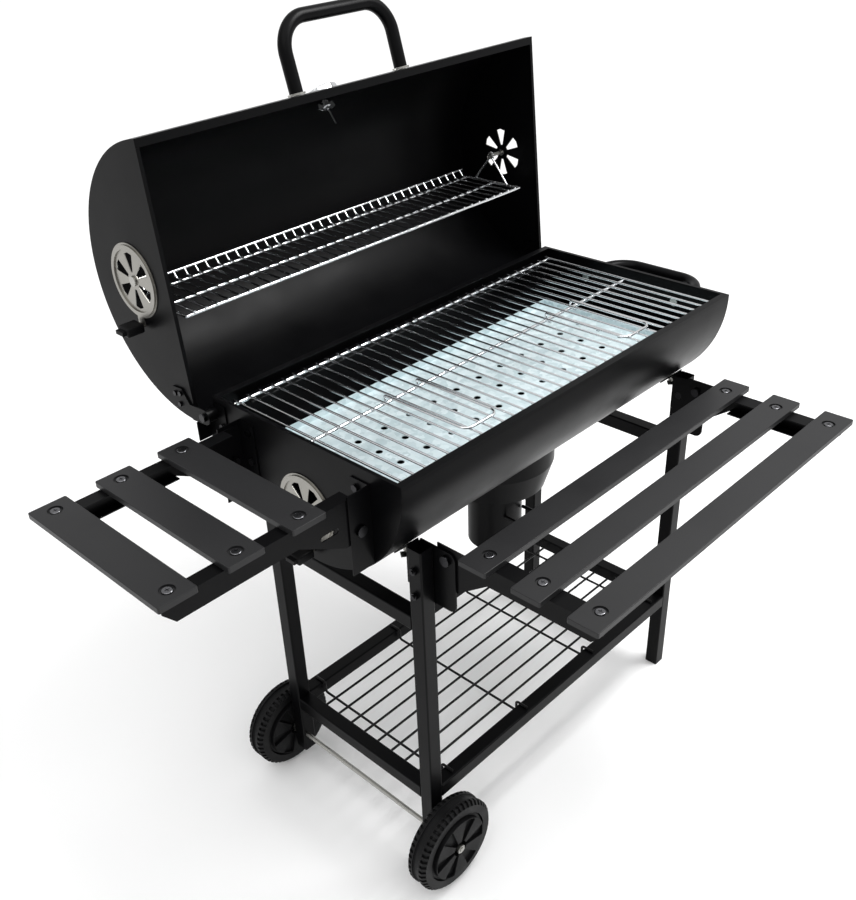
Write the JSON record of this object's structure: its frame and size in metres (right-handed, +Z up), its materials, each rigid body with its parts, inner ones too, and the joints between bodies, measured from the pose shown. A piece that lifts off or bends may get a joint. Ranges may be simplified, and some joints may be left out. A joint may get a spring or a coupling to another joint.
{
  "type": "barrel charcoal barbecue trolley",
  "caption": "Half-barrel charcoal barbecue with hinged lid on a wheeled tube stand, with folding slatted side and front shelves, cooking grates, air dampers and ash can",
  "frame": {"origin": "middle of the bottom of the whole object's bounding box, on the floor", "axes": "+Z up, +X along the barrel towards the pull handle, -Y towards the person cooking"},
  "size_m": [1.199, 0.8642, 1.2368],
  "materials": {
    "black_coat": "satin black powder coat",
    "black_wire": "satin black coated wire",
    "chrome_wire": "bright chromed steel wire",
    "galvanised": "galvanised sheet",
    "damper_steel": "bright plated sheet",
    "zinc_bolts": "zinc plated fasteners",
    "black_plastic": "moulded black plastic",
    "dial_face": "white enamelled dial",
    "lens_glass": "clear lens"
  },
  "bodies": {
    "stand": {"bowl_shell": "black_coat", "bowl_end_left": "black_coat", "bowl_end_right": "black_coat", "hinge_brackets": "black_coat", "hinge_bolts": "zinc_bolts", "bowl_damper_rivet": "zinc_bolts", "legs": "black_coat", "leg_end_caps": "black_plastic", "long_rails": "black_coat", "cross_rails": "black_coat", "bowl_saddles": "black_coat", "saddle_fasteners": "zinc_bolts", "bowl_ledges": "black_coat", "side_shelf_brackets": "black_coat", "front_shelf_brackets": "black_coat", "shelf_bolts": "zinc_bolts", "shelf_pivots": "zinc_bolts", "wire_shelf": "black_wire", "pull_handle": "black_coat", "pull_handle_fixings": "zinc_bolts", "ash_funnel": "black_coat", "axle_rod": "zinc_bolts", "axle_fittings": "zinc_bolts"},
    "lid": {"lid_shell": "black_coat", "lid_end_left": "black_coat", "lid_end_right": "black_coat", "lid_handle": "black_coat", "lid_handle_fixings": "zinc_bolts", "thermometer_case": "damper_steel", "thermometer_dial": "dial_face", "thermometer_lens": "lens_glass", "thermometer_probe": "damper_steel", "thermometer_wing_nut": "damper_steel", "lid_hinge_leaves": "black_coat", "lid_hinge_screws": "zinc_bolts", "lid_damper_rivets": "zinc_bolts"},
    "lid_damper_left": {"lid_damper_left_disc": "damper_steel", "lid_damper_left_grip": "black_plastic"},
    "lid_damper_right": {"lid_damper_right_disc": "damper_steel", "lid_damper_right_grip": "black_plastic"},
    "bowl_damper": {"bowl_damper_disc": "damper_steel", "bowl_damper_grip": "black_plastic"},
    "warming_rack": {"warming_rack": "chrome_wire"},
    "grate_left": {"grate_left": "chrome_wire"},
    "grate_right": {"grate_right": "chrome_wire"},
    "grate_left_bail": {"grate_left_bail": "chrome_wire"},
    "grate_right_bail": {"grate_right_bail": "chrome_wire"},
    "charcoal_pan": {"charcoal_pan": "galvanised"},
    "ash_can": {"ash_can": "black_coat", "ash_can_handle": "black_wire"},
    "side_shelf": {"side_shelf_slats": "black_coat", "side_shelf_screws": "zinc_bolts", "side_shelf_arms": "black_coat"},
    "front_shelf": {"front_shelf_slats": "black_coat", "front_shelf_screws": "zinc_bolts", "front_shelf_arms": "black_coat"},
    "wheel_front": {"wheel_front_tyre": "black_plastic", "wheel_front_hub": "black_plastic"},
    "wheel_back": {"wheel_back_tyre": "black_plastic", "wheel_back_hub": "black_plastic"}
  },
  "joints": [
    {"name": "lid_hinge", "type": "hinge", "parent": "stand", "child": "lid", "pos_m": [0.108, 0.20192, 0.75], "axis": [-1, 0, 0], "range_deg": [-95, 0]},
    {"name": "rack_swing", "type": "hinge", "parent": "lid", "child": "warming_rack", "pos_m": [0.108, 0.32672, 0.92579], "axis": [-1, 0, 0], "range_deg": [0, 95]},
    {"name": "lid_damper_left_turn", "type": "hinge", "parent": "lid", "child": "lid_damper_left", "pos_m": [-0.296, 0.32672, 0.92579], "axis": [1, 0, 0], "range_deg": [-30, 0]},
    {"name": "lid_damper_right_turn", "type": "hinge", "parent": "lid", "child": "lid_damper_right", "pos_m": [0.512, 0.32672, 0.92579], "axis": [1, 0, 0], "range_deg": [-30, 0]},
    {"name": "bowl_damper_turn", "type": "hinge", "parent": "stand", "child": "bowl_damper", "pos_m": [-0.277, 0.01592, 0.662], "axis": [1, 0, 0], "range_deg": [-30, 0]},
    {"name": "side_shelf_fold", "type": "hinge", "parent": "stand", "child": "side_shelf", "pos_m": [-0.298, 0.01592, 0.698], "axis": [0, 1, 0], "range_deg": [-90, 0]},
    {"name": "front_shelf_fold", "type": "hinge", "parent": "stand", "child": "front_shelf", "pos_m": [0.108, -0.17708, 0.627], "axis": [-1, 0, 0], "range_deg": [-90, 0]},
    {"name": "grate_left_lift", "type": "slide", "parent": "stand", "child": "grate_left", "axis": [0, 0, 1], "range_m": [0, 0.25]},
    {"name": "grate_right_lift", "type": "slide", "parent": "stand", "child": "grate_right", "axis": [0, 0, 1], "range_m": [0, 0.25]},
    {"name": "grate_left_bail_tip", "type": "hinge", "parent": "grate_left", "child": "grate_left_bail", "pos_m": [-0.077, 0.01592, 0.7601], "axis": [-1, 0, 0], "range_deg": [0, 100]},
    {"name": "grate_right_bail_tip", "type": "hinge", "parent": "grate_right", "child": "grate_right_bail", "pos_m": [0.293, 0.01592, 0.7601], "axis": [-1, 0, 0], "range_deg": [0, 100]},
    {"name": "charcoal_pan_lift", "type": "slide", "parent": "stand", "child": "charcoal_pan", "axis": [0, 0, 1], "range_m": [0, 0.05]},
    {"name": "ash_can_drop", "type": "slide", "parent": "stand", "child": "ash_can", "axis": [0, 0, 1], "range_m": [-0.15, 0]},
    {"name": "wheel_front_roll", "type": "hinge", "parent": "stand", "child": "wheel_front", "pos_m": [-0.223, -0.18208, 0.084], "axis": [0, 1, 0], "continuous": true},
    {"name": "wheel_back_roll", "type": "hinge", "parent": "stand", "child": "wheel_back", "pos_m": [-0.223, 0.21392, 0.084], "axis": [0, 1, 0], "continuous": true}
  ],
  "couplings": [
    {"joint": "rack_swing", "follows": "lid_hinge", "ratio": -1}
  ]
}
